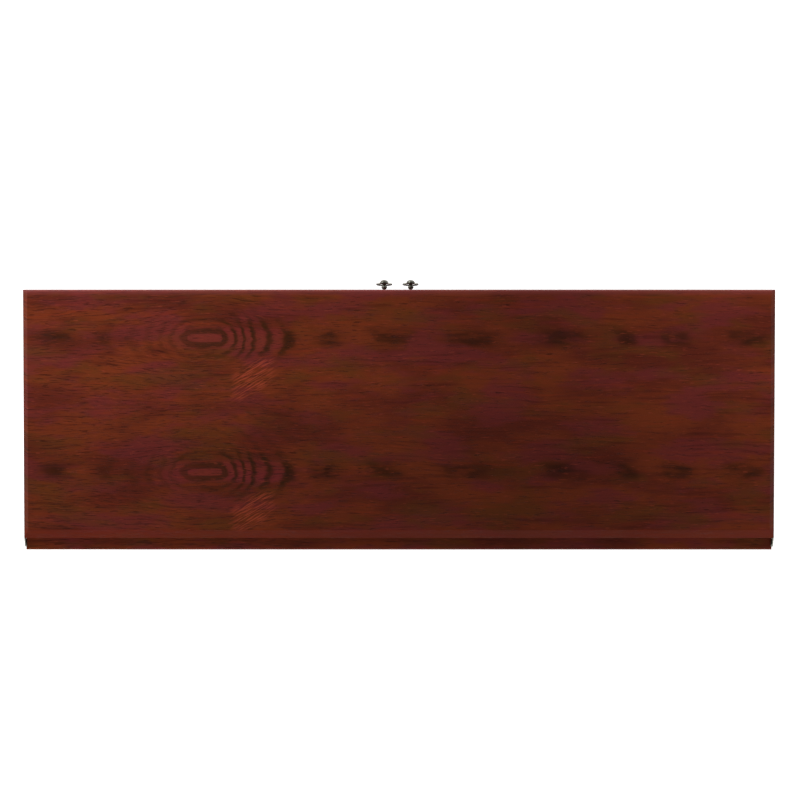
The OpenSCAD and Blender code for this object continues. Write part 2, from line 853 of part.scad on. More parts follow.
// The cabinet's half: a leaf in the post and the two outer knuckles
module hinge_fixed(z) {
    difference() {
        union() {
            hinge_leaf(post_x0, z, face_y + hinge_leaf_w);
            for (end = [LEFT, RIGHT]) {
                z0 = end < 0 ? z - hinge_h / 2 : z + mid_knuckle_h / 2 + knuckle_gap / 2;
                z1 = end < 0 ? z - mid_knuckle_h / 2 - knuckle_gap / 2 : z + hinge_h / 2;
                translate([hinge_x, hinge_y, z0]) cylinder(r = knuckle_r, h = z1 - z0);
                block(post_x0, post_x0 + hinge_leaf_t, hinge_y, face_y + 2 * knuckle_gap, z0, z1);
            }
        }
        translate([hinge_x, hinge_y, z - hinge_h]) cylinder(r = hinge_pin_r, h = 2 * hinge_h);
        translate([post_x0, face_y + hinge_screw_in, z]) at_hinge_screws(1) screw_room(hinge_screw_l);
    }
}

// The door's half: a leaf in the stile and the middle knuckle
module hinge_moving(z) {
    difference() {
        union() {
            hinge_leaf(door_x1 - hinge_leaf_t, z, face_y + hinge_leaf_w);
            translate([hinge_x, hinge_y, z - mid_knuckle_h / 2 + knuckle_gap / 2])
                cylinder(r = knuckle_r, h = mid_knuckle_h - knuckle_gap);
            block(door_x1 - hinge_leaf_t, door_x1, hinge_y, face_y + 2 * knuckle_gap,
                z - mid_knuckle_h / 2 + knuckle_gap / 2, z + mid_knuckle_h / 2 - knuckle_gap / 2);
        }
        translate([hinge_x, hinge_y, z - hinge_h]) cylinder(r = hinge_pin_r + run_fit, h = 2 * hinge_h);
        translate([door_x1, face_y + hinge_screw_in, z]) at_hinge_screws(-1) screw_room(hinge_screw_l);
    }
}

module hinge_pin(z) {
    translate([hinge_x, hinge_y, z - hinge_h / 2]) cylinder(r = hinge_pin_r, h = hinge_h);
    for (end = [LEFT, RIGHT]) translate([hinge_x, hinge_y, z + end * (hinge_h + finial_r) / 2]) {
        cylinder(r = finial_r, h = finial_r, center = true);
        translate([0, 0, end * finial_r / 2]) sphere(finial_tip_r);
    }
}

module door_hinge_fixed_left() { color(brass) on_side(LEFT) for (z = hinge_zs) hinge_fixed(z); }
module door_hinge_fixed_right() { color(brass) on_side(RIGHT) for (z = hinge_zs) hinge_fixed(z); }
module door_hinge_pins_left() { color(brass) on_side(LEFT) for (z = hinge_zs) hinge_pin(z); }
module door_hinge_pins_right() { color(brass) on_side(RIGHT) for (z = hinge_zs) hinge_pin(z); }

module door_screws() {
    for (z = hinge_zs) translate([door_x1, face_y + hinge_screw_in, z])
        at_hinge_screws(-1) screw(hinge_screw_l);
    translate([strike_x0 + strike_w / 2, door_back_y, strike_z]) rotate([-90, 0, 0])
        screw(strike_screw_l);
}

module door_left_stiles() { color(wood) on_side(LEFT) door_stiles(); }
module door_left_rails() { color(wood) on_side(LEFT) door_rails(); }
module door_left_panel() { color(wood) on_side(LEFT) door_panel(); }
module door_left_hinge_leaves() { color(brass) on_side(LEFT) for (z = hinge_zs) hinge_moving(z); }
module door_left_strike() { color(pewter) on_side(LEFT) door_strike(); }
module door_left_screws() { color(brass) on_side(LEFT) door_screws(); }
module door_right_stiles() { color(wood) on_side(RIGHT) door_stiles(); }
module door_right_rails() { color(wood) on_side(RIGHT) door_rails(); }
module door_right_panel() { color(wood) on_side(RIGHT) door_panel(); }
module door_right_hinge_leaves() { color(brass) on_side(RIGHT) for (z = hinge_zs) hinge_moving(z); }
module door_right_strike() { color(pewter) on_side(RIGHT) door_strike(); }
module door_right_screws() { color(brass) on_side(RIGHT) door_screws(); }

// Every screw that stays with the cabinet
module cabinet_screws() {
    color(brass) for (s = [LEFT, RIGHT]) on_side(s) {
        at_block_screws() screw(block_screw_l);
        at_plate_screws() screw(plate_screw_l);
        for (z = hinge_zs) translate([post_x0, face_y + hinge_screw_in, z])
            at_hinge_screws(1) screw(hinge_screw_l);
    }
}

// ---- Ring pulls ----

// The turned post: peg, rosette, stem, bulb, neck, dome and the lug that carries the ring
module pull_post() {
    difference() {
        union() {
            translate([pull_x, face_y + pull_peg_l, pull_z]) rod_front(pull_peg_r, pull_peg_l + cut);
            translate([pull_x, face_y, pull_z]) {
                rod_front(rosette_r, rosette_t);
                rod_front(rosette_step_r, rosette_t + rosette_step_t);
                rod_front(stem_r, face_y - bulb_y1 + cut);
            }
            translate([pull_x, bulb_y1, pull_z]) rotate([90, 0, 0])
                cylinder(r1 = bulb_back_r, r2 = bulb_front_r, h = bulb_l);
            translate([pull_x, neck_y1 + cut, pull_z]) rod_front(neck_r, neck_l + 2 * cut);
            translate([pull_x, neck_y0, pull_z]) rod_front(dome_r, dome_rim);
            intersection() {
                translate([pull_x, neck_y0 - dome_rim, pull_z]) sphere(dome_r);
                translate([pull_x, neck_y0 - dome_rim, pull_z]) rod_front(dome_r + cut, dome_r + cut);
            }
            translate([pull_x - lug_w / 2, ring_y, ring_z]) rod_x(lug_r, lug_w);
            block(pull_x - lug_w / 2, pull_x + lug_w / 2, ring_y - lug_web / 2, ring_y + lug_web / 2,
                ring_z, pull_z);
        }
        translate([pull_x - lug_w, ring_y, ring_z]) rod_x(lug_hole_r, 2 * lug_w);
    }
}

module ring() {
    translate([pull_x, ring_y, ring_z]) rotate([-ring_lean, 0, 0]) translate([0, 0, -ring_r])
        rotate([90, 0, 0]) rotate_extrude() translate([ring_r, 0]) circle(ring_wire / 2);
}

module door_left_pull_post() { color(pewter) on_side(LEFT) pull_post(); }
module door_right_pull_post() { color(pewter) on_side(RIGHT) pull_post(); }
module ring_left() { color(pewter) on_side(LEFT) ring(); }
module ring_right() { color(pewter) on_side(RIGHT) ring(); }

bed();
bed_baize();
leg_front_left();
leg_front_right();
leg_rear_left();
leg_rear_right();
front_rail_upper();
front_rail_lower();
rear_rail_upper();
rear_rail_lower();
side_rail_upper_left();
side_rail_upper_right();
side_rail_lower_left();
side_rail_lower_right();
side_panel_left();
side_panel_right();
cabinet_floor();
divider();
back_panel();
shelf_left();
shelf_right();
shelf_pins();
corner_blocks();
cabinet_screws();
glides();
loper_guide_left();
loper_guide_right();
door_catches();
door_hinge_fixed_left();
door_hinge_fixed_right();
door_hinge_pins_left();
door_hinge_pins_right();
flip_hinge_plates();
flip_hinge_pins();
leaf();
leaf_baize();
flip_hinge_arms();
leaf_screws();
door_left_stiles();
door_left_rails();
door_left_panel();
door_left_hinge_leaves();
door_left_strike();
door_left_screws();
door_left_pull_post();
ring_left();
door_right_stiles();
door_right_rails();
door_right_panel();
door_right_hinge_leaves();
door_right_strike();
door_right_screws();
door_right_pull_post();
ring_right();
loper_left();
loper_left_pad();
loper_right();
loper_right_pad();
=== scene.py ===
"""Looks of the gaming table: a console with a flip-over top, seen from straight above."""

import functools
import json
import math

import bmesh
import bpy
from mathutils import Matrix, Vector


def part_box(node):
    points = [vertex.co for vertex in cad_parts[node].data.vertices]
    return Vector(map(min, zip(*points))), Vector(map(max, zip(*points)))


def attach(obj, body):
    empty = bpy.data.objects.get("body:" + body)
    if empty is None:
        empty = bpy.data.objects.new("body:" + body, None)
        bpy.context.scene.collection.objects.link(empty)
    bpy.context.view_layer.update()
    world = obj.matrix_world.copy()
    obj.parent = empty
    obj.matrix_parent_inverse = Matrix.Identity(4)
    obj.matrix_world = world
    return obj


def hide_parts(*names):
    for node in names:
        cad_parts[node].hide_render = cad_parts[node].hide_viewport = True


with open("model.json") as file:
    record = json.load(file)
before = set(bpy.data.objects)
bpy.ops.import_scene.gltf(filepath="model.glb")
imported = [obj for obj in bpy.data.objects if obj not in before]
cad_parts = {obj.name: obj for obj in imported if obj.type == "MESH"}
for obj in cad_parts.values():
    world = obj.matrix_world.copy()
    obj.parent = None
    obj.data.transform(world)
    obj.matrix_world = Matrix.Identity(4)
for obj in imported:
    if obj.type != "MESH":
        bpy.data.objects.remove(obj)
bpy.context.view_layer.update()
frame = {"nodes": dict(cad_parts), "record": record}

# ---- Places taken from the frame -------------------------------------------------------------

MM = 0.001

LEAF_LOW, LEAF_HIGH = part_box("leaf")
TOP_Z = LEAF_HIGH.z
FRONT_Y = LEAF_LOW.y
LEAF_BACK = LEAF_HIGH.y
BED_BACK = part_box("bed")[1].y
HALF_WIDTH = LEAF_HIGH.x

# ---- Shader building -------------------------------------------------------------------------


def srgb(red, green, blue):
    """A colour given as 0 to 255 display values, in linear light."""
    def linear(value):
        value /= 255
        return value / 12.92 if value <= 0.04045 else ((value + 0.055) / 1.055) ** 2.4
    return (linear(red), linear(green), linear(blue), 1.0)


class Shader:
    """Short calls for the nodes of one material."""

    def __init__(self, name):
        self.material = bpy.data.materials.new(name)
        self.material.use_nodes = True
        self.nodes = self.material.node_tree.nodes
        self.links = self.material.node_tree.links
        self.surface = self.nodes["Principled BSDF"]

    def plug(self, socket, value):
        """Links a node's output to the socket, or sets the socket to a plain value."""
        if isinstance(value, bpy.types.NodeSocket):
            self.links.new(value, socket)
        else:
            socket.default_value = value

    def add(self, kind, inputs=None, **settings):
        """A new node, with its inputs plugged and its own settings made."""
        node = self.nodes.new(kind)
        for name, value in settings.items():
            setattr(node, name, value)
        for name, value in (inputs or {}).items():
            self.plug(node.inputs[name], value)
        return node

    def math(self, operation, *values):
        node = self.add("ShaderNodeMath", operation=operation)
        for socket, value in zip(node.inputs, values):
            self.plug(socket, value)
        return node.outputs[0]

    def plus(self, *values):
        """The sum of two or more values."""
        return functools.reduce(functools.partial(self.math, "ADD"), values)

    def times(self, *values):
        """The product of two or more values."""
        return functools.reduce(functools.partial(self.math, "MULTIPLY"), values)

    def minus(self, first, second):
        return self.math("SUBTRACT", first, second)

    def over(self, first, second):
        return self.math("DIVIDE", first, second)

    def larger(self, first, second):
        return self.math("MAXIMUM", first, second)

    def absolute(self, value):
        return self.math("ABSOLUTE", value)

    def cycle(self, value):
        """How far value has gone from one whole number to the next."""
        return self.math("FRACT", value)

    def place(self):
        """The point in the part's own frame, in metres."""
        return self.add("ShaderNodeTexCoord").outputs["Object"]

    def split(self, vector):
        return self.add("ShaderNodeSeparateXYZ", {"Vector": vector}).outputs

    def join(self, x, y, z):
        return self.add("ShaderNodeCombineXYZ", {"X": x, "Y": y, "Z": z}).outputs[0]

    def noise(self, vector, scale=1.0, detail=2.0, rough=0.5, warp=0.0):
        inputs = {"Vector": vector, "Scale": scale, "Detail": detail, "Roughness": rough,
                  "Distortion": warp}
        return self.add("ShaderNodeTexNoise", inputs).outputs["Fac"]

    def streaks(self, along, across, third, along_scale, across_scale, **settings):
        """Noise that is stretched where its two scales, in cells per metre, differ."""
        place = self.join(self.times(along, along_scale), self.times(across, across_scale), third)
        return self.noise(place, **settings)

    def ease(self, value, low, high, to_low=0.0, to_high=1.0):
        """value eased from low..high to to_low..to_high."""
        inputs = {"Value": value, "From Min": low, "From Max": high,
                  "To Min": to_low, "To Max": to_high}
        return self.add("ShaderNodeMapRange", inputs, interpolation_type="SMOOTHSTEP").outputs[0]

    def fade(self, value, low, high):
        """1 up to low, eased to 0 at high."""
        return self.ease(value, low, high, 1.0, 0.0)

    def curve(self, value, points):
        """value through a curve with the given (in, out) points, both 0 to 1."""
        node = self.add("ShaderNodeFloatCurve", {"Value": value})
        line = node.mapping.curves[0]
        line.points[0].location = points[0]
        line.points[1].location = points[-1]
        for x, y in points[1:-1]:
            line.points.new(x, y)
        node.mapping.update()
        return node.outputs[0]

    def mix(self, share, first, second, blend="MIX"):
        """A colour that goes from first to second as share goes from 0 to 1."""
        node = self.add("ShaderNodeMix", data_type="RGBA", blend_type=blend)
        self.plug(node.inputs["Factor"], share)
        self.plug(node.inputs["A"], first)
        self.plug(node.inputs["B"], second)
        return node.outputs["Result"]

    def blend(self, share, first, second):
        """A number that goes from first to second as share goes from 0 to 1."""
        node = self.add("ShaderNodeMix", data_type="FLOAT")
        # input 1 is the share of a vector mix, which has no part in this
        for index, value in ((0, share), (2, first), (3, second)):
            self.plug(node.inputs[index], value)
        return node.outputs["Result"]

    def bump(self, height, strength, distance):
        inputs = {"Height": height, "Strength": strength, "Distance": distance}
        return self.add("ShaderNodeBump", inputs).outputs[0]

    def finish(self, **inputs):
        """The material, once the surface's inputs are plugged; _ stands for a space."""
        for name, value in inputs.items():
            self.plug(self.surface.inputs[name.replace("_", " ")], value)
        return self.material


# ---- Wood ------------------------------------------------------------------------------------

PORE_WIDTH = 1.3 * MM


def dashes(s, along, across, seed, length, cover):
    """Short streaks along the grain, 1 in a streak and 0 between them; more cover makes more."""
    cells = s.join(s.over(along, length), s.over(across, PORE_WIDTH), seed)
    return s.ease(s.plus(s.noise(cells, detail=1.5, rough=0.6), cover), 1.0, 1.06)


def finish_wood(s, colour, streak, pore, rough, specular):
    """The surface of open-pored timber, with a little relief in its grain and its pores sunk in."""
    relief = s.minus(s.times(streak, 0.35), pore)
    return s.finish(Base_Color=colour, Roughness=s.ease(streak, 0.3, 0.7, rough, rough + 0.1),
                    Normal=s.bump(relief, 0.35, 0.4 * MM), Specular_IOR_Level=specular)


VENEER_WIDTH = 0.2162      # width of one sheet of veneer, which repeats across the top
EYE_X = 0.312              # where the middle of the veneer's figure lies along the top
EYE_Y = FRONT_Y + 0.0785   # and across it
RINGS_PER_METRE = 60       # growth rings met across the grain
# growth rings met along the sheet's axis, from the eye to the far end, by the distance in
# metres: close at first, then wide
AXIS_RINGS = [(0.0, 0.0), (0.020, 0.25), (0.031, 1.0), (0.132, 6.0), (0.195, 7.0), (0.314, 8.0),
              (0.416, 9.0), (0.582, 10.0), (0.683, 11.0), (0.763, 12.0), (1.0, 14.0)]
AXIS_RINGS_SCALE = 16.0    # brings that curve into 0 to 1
WAVER = 0.020              # metres that the rings wander aside
SHEET_STEP = 0.15          # how much the two sheets differ, as a step through the noise
BEHIND_EYE = 0.8           # the rings lie farther apart behind the eye than ahead of it
# darkness from one growth ring to the next, for the fine lines and for the soft clouds
LATE_WOOD = [(0.0, 1.0), (0.16, 0.75), (0.34, 0.12), (0.55, 0.0), (0.74, 0.10), (0.90, 0.80),
             (1.0, 1.0)]
CLOUD_WOOD = [(0.0, 1.0), (0.14, 0.8), (0.30, 0.15), (0.50, 0.0), (0.70, 0.15), (0.86, 0.8),
              (1.0, 1.0)]
# painted light: how light the veneer is painted from the table's left end to its right end
PAINTED_LIGHT_ACROSS = [(0.0, 0.56), (0.10, 0.51), (0.30, 0.395), (0.50, 0.448), (0.70, 0.54),
               (0.90, 0.615), (1.0, 0.64)]
END_FACE = 0.7             # a face whose normal leans this much along X is the board's end
BEVEL = 0.011              # depth of the bevel's full painted highlight along the leaf's back edge


class Veneer(Shader):
    """Red mahogany stain on open-pored veneer with a cathedral figure.

    Two sheets of the same figure lie side by side, one at the front and one at the back."""

    def __init__(self, name):
        super().__init__(name)
        self.unroll()
        self.lay_rings()

    def unroll(self):
        """Sets the point on the top and on its own sheet, with the board's edges folded out flat.

        The edges carry strips of the same veneer, with their grain along the edge."""
        x, y, self.z = self.split(self.place())
        self.facing = self.split(self.add("ShaderNodeTexCoord").outputs["Normal"])
        end = self.math("GREATER_THAN", self.absolute(self.facing["X"]), END_FACE)
        drop = self.minus(TOP_Z, self.z)
        y = self.plus(y, drop)
        self.x, self.y = self.blend(end, x, y), self.blend(end, y, self.plus(drop, x))
        offset = self.plus(self.minus(self.y, EYE_Y), VENEER_WIDTH / 2)
        inside = self.math("FLOORED_MODULO", offset, VENEER_WIDTH)
        self.sheet = self.minus(inside, VENEER_WIDTH / 2)
        self.number = self.math("FLOOR", self.over(offset, VENEER_WIDTH))
        self.along = self.minus(EYE_X, self.x)

    def cloud(self, along_scale, sheet_scale, seed):
        """Noise stretched along the grain and nearly the same on both sheets."""
        third = self.plus(self.times(self.number, SHEET_STEP), seed)
        return self.streaks(self.along, self.sheet, third, along_scale, sheet_scale, detail=3.0)

    def patch(self, along_scale, across_scale, seed):
        """Broad noise that runs over both sheets without a break."""
        return self.streaks(self.x, self.y, seed, along_scale, across_scale, detail=3.0,
                            rough=0.55)

    def lay_rings(self):
        """Counts the growth rings: close ovals round the eye, long points towards the far end."""
        self.waver = self.minus(self.cloud(5.0, 16.0, 0.0), 0.5)
        self.off_axis = self.absolute(self.plus(self.sheet, self.times(self.waver, WAVER)))
        aside = self.plus(self.times(self.off_axis, RINGS_PER_METRE),
                          self.ease(self.off_axis, 0.0, 0.011, 0.0, 0.36))
        self.reach = self.larger(self.along, self.times(self.along, -BEHIND_EYE))
        points = [(distance, rings / AXIS_RINGS_SCALE) for distance, rings in AXIS_RINGS]
        self.ahead = self.times(AXIS_RINGS_SCALE, self.curve(self.reach, points))
        self.ring = self.math("SQRT", self.plus(self.times(aside, aside),
                                                self.times(self.ahead, self.ahead)))

    def late_wood(self):
        """The rings' dark lines: strongest round the eye and on the axis, worn off elsewhere."""
        fine = self.minus(self.cloud(26.0, 90.0, 2.0), 0.5)
        lines = self.curve(self.cycle(self.plus(self.ring, self.times(fine, 0.85))), LATE_WOOD)
        on_axis = self.ease(self.off_axis, 0.015, 0.038, 1.0, 0.22)
        worn = self.larger(self.ease(self.cloud(20.0, 70.0, 6.0), 0.36, 0.54, 0.25, 1.0),
                           self.ease(self.off_axis, 0.010, 0.018, 0.9, 0.0))
        lines = self.times(lines, on_axis, worn, self.ease(self.ring, 0.40, 0.70))
        first_ring = self.times(self.ease(self.ring, 0.36, 0.60),
                                self.fade(self.ring, 1.05, 1.30), 0.8)
        near_eye = self.times(self.ease(self.along, -0.08, 0.0, 0.30, 1.0),
                              self.ease(self.along, 0.13, 0.19, 1.0, 0.12))
        return self.times(self.larger(lines, first_ring), near_eye)

    def heart(self):
        """The plain rosy wood on the axis, inside the ovals."""
        return self.times(self.fade(self.off_axis, 0.010, 0.020),
                          self.fade(self.along, 0.11, 0.14), self.ease(self.along, -0.09, -0.02))

    def dark_clouds(self):
        """Soft dark clouds where the rings cross the axis, past the ovals."""
        cross = self.cycle(self.plus(self.ahead, self.times(self.waver, 1.2)))
        return self.times(self.curve(cross, CLOUD_WOOD),
                          self.ease(self.cloud(18.0, 60.0, 11.0), 0.34, 0.56, 0.25, 1.0),
                          self.fade(self.off_axis, 0.004, 0.019),
                          self.ease(self.reach, 0.10, 0.16))

    def dip_sheen(self):
        """Painted sheen: short bright slanting lines where the grain dips beside the ovals."""
        slant = self.plus(self.sheet, self.times(self.along, 0.55))
        lines = self.streaks(self.along, slant, 3.0, 40.0, 380.0, detail=1.5)
        return self.times(self.ease(lines, 0.46, 0.60), self.ease(self.sheet, 0.024, 0.040),
                          self.fade(self.absolute(self.minus(slant, 0.105)), 0.014, 0.034),
                          self.fade(self.absolute(self.minus(self.along, 0.075)), 0.016, 0.044))

    def bevel_highlight(self):
        """1 on the bevel along the leaf's back edge, where the painted highlight lies."""
        return self.times(self.ease(self.y, LEAF_BACK - BEVEL - 0.005, LEAF_BACK - BEVEL),
                          self.fade(self.y, LEAF_BACK + 0.005, LEAF_BACK + 0.012))

    def depth(self):
        """Painted light and shade on the veneer: darker towards the right end and the back, lighter
        on the front edge and on the bed's strip, darker on upright faces.
        """
        across = self.over(self.plus(self.x, HALF_WIDTH), 2 * HALF_WIDTH)
        # painted light: lighter towards the front, darker towards the back
        back = self.ease(self.y, -0.10, 0.10, 2.26, 1.64)
        # painted highlight along the front edge
        front_edge_highlight = self.ease(self.y, FRONT_Y, FRONT_Y + 0.018, 1.28, 1.0)
        # painted light on the bed's exposed strip behind the leaf, lightening the leaf's shadow
        # there
        strip_painted_light = self.ease(self.y, LEAF_BACK + 0.006, BED_BACK, 1.0, 1.45)
        # painted shade on upright faces, such as the edges
        upright_painted_shade = self.ease(self.absolute(self.facing["Z"]), 0.25, 0.75, 0.58, 1.0)
        return self.times(self.curve(across, PAINTED_LIGHT_ACROSS), back, front_edge_highlight, strip_painted_light, upright_painted_shade)

    def build(self):
        """The finished material: the colours laid over each other, broad ones first."""
        # the grain follows the rings a little, and differs from sheet to sheet
        across = self.plus(self.times(self.off_axis, 0.85),
                           self.over(self.ring, 8.0 * RINGS_PER_METRE))
        seed = self.plus(self.times(self.number, 3.7), self.times(self.sheet, 9.0))
        streak = self.streaks(self.along, across, seed, 10.0, 260.0, detail=4.0, rough=0.6)
        pore = dashes(self, self.along, across, seed, 0.021,
                      self.ease(self.along, -0.05, 0.45, 0.44, 0.38))
        glint = dashes(self, self.along, across, self.plus(seed, 31.0), 0.017, 0.36)
        colour = self.mix(self.ease(self.patch(6.5, 20.0, self.z), 0.36, 0.64),
                          srgb(90, 34, 22), srgb(112, 47, 23))
        layers = [
            # wine and olive patches, and the rosy heart
            (self.ease(self.patch(9.0, 26.0, 4.0), 0.46, 0.62, 0.0, 0.75), srgb(104, 38, 38)),
            (self.ease(self.patch(8.0, 22.0, 8.0), 0.48, 0.66, 0.0, 0.62), srgb(90, 49, 18)),
            (self.times(self.heart(), 0.55), srgb(120, 42, 42)),
            # dark and light streaks of grain
            (self.ease(streak, 0.52, 0.70, 0.0, 0.50), srgb(66, 18, 8)),
            (self.ease(streak, 0.46, 0.30, 0.0, 0.35), srgb(128, 46, 26)),
            # the figure
            (self.times(self.late_wood(), 0.85), srgb(46, 27, 6)),
            (self.times(self.dark_clouds(), 0.80), srgb(46, 22, 10)),
            # painted glints, pores and the painted sheen of bright slanting lines
            (self.times(glint, 0.36), srgb(150, 62, 44)),
            (self.times(pore, 0.52), srgb(38, 13, 6)),
            # painted sheen
            (self.times(self.dip_sheen(), 0.55), srgb(172, 72, 50)),
            # painted highlights: a rosy one along the front edge and a red one on the bevel at the
            # back
            (self.ease(self.y, FRONT_Y + 0.003, FRONT_Y + 0.011, 0.55, 0.0), srgb(112, 50, 50)),
            # painted highlight on the bevel
            (self.times(self.bevel_highlight(), 0.60), srgb(112, 31, 6)),
        ]
        for share, tint in layers:
            colour = self.mix(share, colour, tint)
        # the painted light and shade, laid over the colour
        depth = self.depth()
        colour = self.mix(1.0, colour, self.join(depth, depth, depth), blend="MULTIPLY")
        return finish_wood(self, colour, streak, pore, 0.30, 0.15)


def board_wood(name, grain, light, mid, dark, rough=0.36):
    """Solid timber with straight grain along one axis ("x", "y" or "z")."""
    s = Shader(name)
    own = s.add("ShaderNodeObjectInfo").outputs["Random"]
    x, y, z = s.split(s.place())
    along, across, third = {"x": (x, y, z), "y": (y, x, z), "z": (z, x, y)}[grain]
    along = s.plus(along, s.times(own, 7.0))

    def stretched(along_scale, across_scale, detail):
        """Noise stretched along the grain."""
        return s.streaks(along, across, s.times(third, across_scale), along_scale, across_scale,
                         detail=detail)

    streak = stretched(7.0, 240.0, 4.0)
    rings = s.plus(s.times(s.plus(across, s.times(third, 0.35)), 130.0),
                   s.times(stretched(2.4, 14.0, 2.0), 9.0))
    late = s.curve(s.cycle(rings), [(0.0, 0.8), (0.15, 0.3), (0.5, 0.0), (0.85, 0.45), (1.0, 1.0)])
    pore = dashes(s, along, s.plus(across, s.times(third, 1.7)), own, 0.024, 0.36)
    colour = s.mix(s.ease(stretched(5.0, 22.0, 3.0), 0.34, 0.66), light, mid)
    for share in (s.ease(streak, 0.50, 0.66, 0.0, 0.45), s.times(late, 0.34), s.times(pore, 0.65)):
        colour = s.mix(share, colour, dark)
    return finish_wood(s, colour, streak, pore, rough, 0.2)


# ---- Metal, cloth and nylon ------------------------------------------------------------------

# how fine each material's texture is
PATINA_SCALE = 225.0
CAST_SCALE = 2250.0
FIBRE_SCALE = 1400.0
NAP_CLOUD_SCALE = 24.0
NYLON_SCALE = 1800.0


def metal(name, bright, dull, rough, painted_light_z=None):
    """Cast metal with a worn patina: brighter on its worn skin, dull in the pits.

    painted_light_z gives the heights over which the metal goes from a painted highlight below to
    painted shade above, if given."""
    s = Shader(name)
    place = s.place()
    patina = s.noise(place, scale=PATINA_SCALE, detail=4.0, rough=0.6)
    skin = s.noise(place, scale=CAST_SCALE, detail=3.0)
    share = s.ease(patina, 0.30, 0.70)
    if painted_light_z:
        # painted highlight below, painted shade above
        share = s.times(s.plus(share, 0.6), s.fade(s.split(place)["Z"], *painted_light_z))
    return s.finish(Base_Color=s.mix(share, dull, bright), Metallic=0.95,
                    Roughness=s.ease(patina, 0.3, 0.7, rough + 0.14, rough),
                    Normal=s.bump(skin, 0.25, 0.08 * MM))


def cloth(name, light, dark):
    """Felted wool: short matted fibres without a weave."""
    s = Shader(name)
    place = s.place()
    fibre = s.noise(place, scale=FIBRE_SCALE, detail=5.0, rough=0.7, warp=1.5)
    cloud = s.noise(place, scale=NAP_CLOUD_SCALE, detail=3.0)
    colour = s.mix(s.ease(fibre, 0.35, 0.68), dark, light)
    colour = s.mix(s.ease(cloud, 0.3, 0.7, 0.0, 0.25), colour, dark)
    return s.finish(Base_Color=colour, Roughness=0.95, Normal=s.bump(fibre, 0.6, 0.3 * MM),
                    Sheen_Weight=0.10, Sheen_Roughness=0.5, Specular_IOR_Level=0.1)


def moulded(name, tone):
    """Moulded nylon with a fine matt grain."""
    s = Shader(name)
    grain = s.noise(s.place(), scale=NYLON_SCALE, detail=3.0)
    darker = tuple(c * 0.7 for c in tone[:3]) + (1.0,)
    return s.finish(Base_Color=s.mix(s.ease(grain, 0.3, 0.7), darker, tone), Roughness=0.55,
                    Normal=s.bump(grain, 0.2, 0.1 * MM))


# ---- The materials and where they go ---------------------------------------------------------

RED_TONES = srgb(98, 35, 22), srgb(80, 27, 17), srgb(48, 17, 10)
INNER_TONES = srgb(112, 60, 39), srgb(94, 48, 31), srgb(66, 32, 20)
FRAME_WOOD = {axis: board_wood(f"mahogany_{axis}", axis, *RED_TONES) for axis in "xyz"}
INNER_WOOD = {axis: board_wood(f"inner_wood_{axis}", axis, *INNER_TONES, 0.50) for axis in "xyz"}
PEWTER = metal("antique_pewter", srgb(128, 128, 118), srgb(62, 60, 52), 0.30)
BAIZE = cloth("green_baize", srgb(22, 96, 46), srgb(8, 50, 22))
FELT = cloth("brown_felt", srgb(84, 68, 56), srgb(46, 36, 30))

SLOT_MATERIALS = {
    "pewter": PEWTER,
    "brass": metal("antique_brass", srgb(176, 140, 82), srgb(86, 62, 36), 0.32),
    "baize": BAIZE,
    "felt": FELT,
    "nylon": moulded("dark_nylon", srgb(52, 44, 40)),
    "top_veneer": Veneer("mahogany_veneer").build(),
}
GRAIN = {"leg": "z", "stiles": "z", "panel": "z", "divider": "z", "side_rail": "y", "loper": "y",
         "corner_blocks": "z"}


def grain_of(node):
    """The axis that a wooden node's grain follows; boards without an entry run along the table."""
    return next((axis for part, axis in GRAIN.items() if part in node), "x")


def dress_nodes():
    """Gives every CAD node the material of its slot."""
    for entry in frame["record"]["subparts"]:
        node, slot_name = entry["node"], entry["material_slot"]
        if slot_name in SLOT_MATERIALS:
            material = SLOT_MATERIALS[slot_name]
        else:
            woods = FRAME_WOOD if slot_name == "frame_wood" else INNER_WOOD
            material = woods[grain_of(node)]
        mesh = frame["nodes"][node].data
        mesh.materials.clear()
        mesh.materials.append(material)


# ---- Mesh building ---------------------------------------------------------------------------

WELD_GAP = 1e-6            # points closer than this are one point


def circle(count):
    """The angles of count points round a circle."""
    return [2 * math.pi * i / count for i in range(count)]


def weld(mesh):
    bmesh.ops.remove_doubles(mesh, verts=mesh.verts, dist=WELD_GAP)


def loft(mesh, loops, closed_ends=True):
    """Skins a row of loops, each a list of points; a loop of one point is a tip."""
    rows = [[mesh.verts.new(point) for point in loop] for loop in loops]
    for low, high in zip(rows, rows[1:]):
        for i in range(max(len(low), len(high))):
            corners = [low[i % len(low)], low[(i + 1) % len(low)],
                       high[(i + 1) % len(high)], high[i % len(high)]]
            mesh.faces.new(list(dict.fromkeys(corners)))
    if closed_ends:
        for row in (rows[0], rows[-1]):
            if len(row) > 2:
                mesh.faces.new(row)
    bmesh.ops.recalc_face_normals(mesh, faces=mesh.faces)


def hoop(mesh, loops):
    """Skins a row of loops that comes back to its start."""
    loft(mesh, loops + loops[:1], closed_ends=False)
    weld(mesh)


def add_piece(name, mesh, material, body, slot, *stands_for, smooth=40):
    """Puts a mesh on its body, in place of the nodes it stands for.

    Edges that turn by less than smooth degrees are shaded round."""
    mesh.normal_update()
    data = bpy.data.meshes.new(name)
    mesh.to_mesh(data)
    mesh.free()
    data.materials.append(material)
    data.shade_smooth()
    data.set_sharp_from_angle(angle=math.radians(smooth))
    piece = bpy.data.objects.new(name, data)
    bpy.context.scene.collection.objects.link(piece)
    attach(piece, body)
    if stands_for:
        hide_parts(*stands_for)
    return piece


# ---- Ring pulls, in millimetres --------------------------------------------------------------

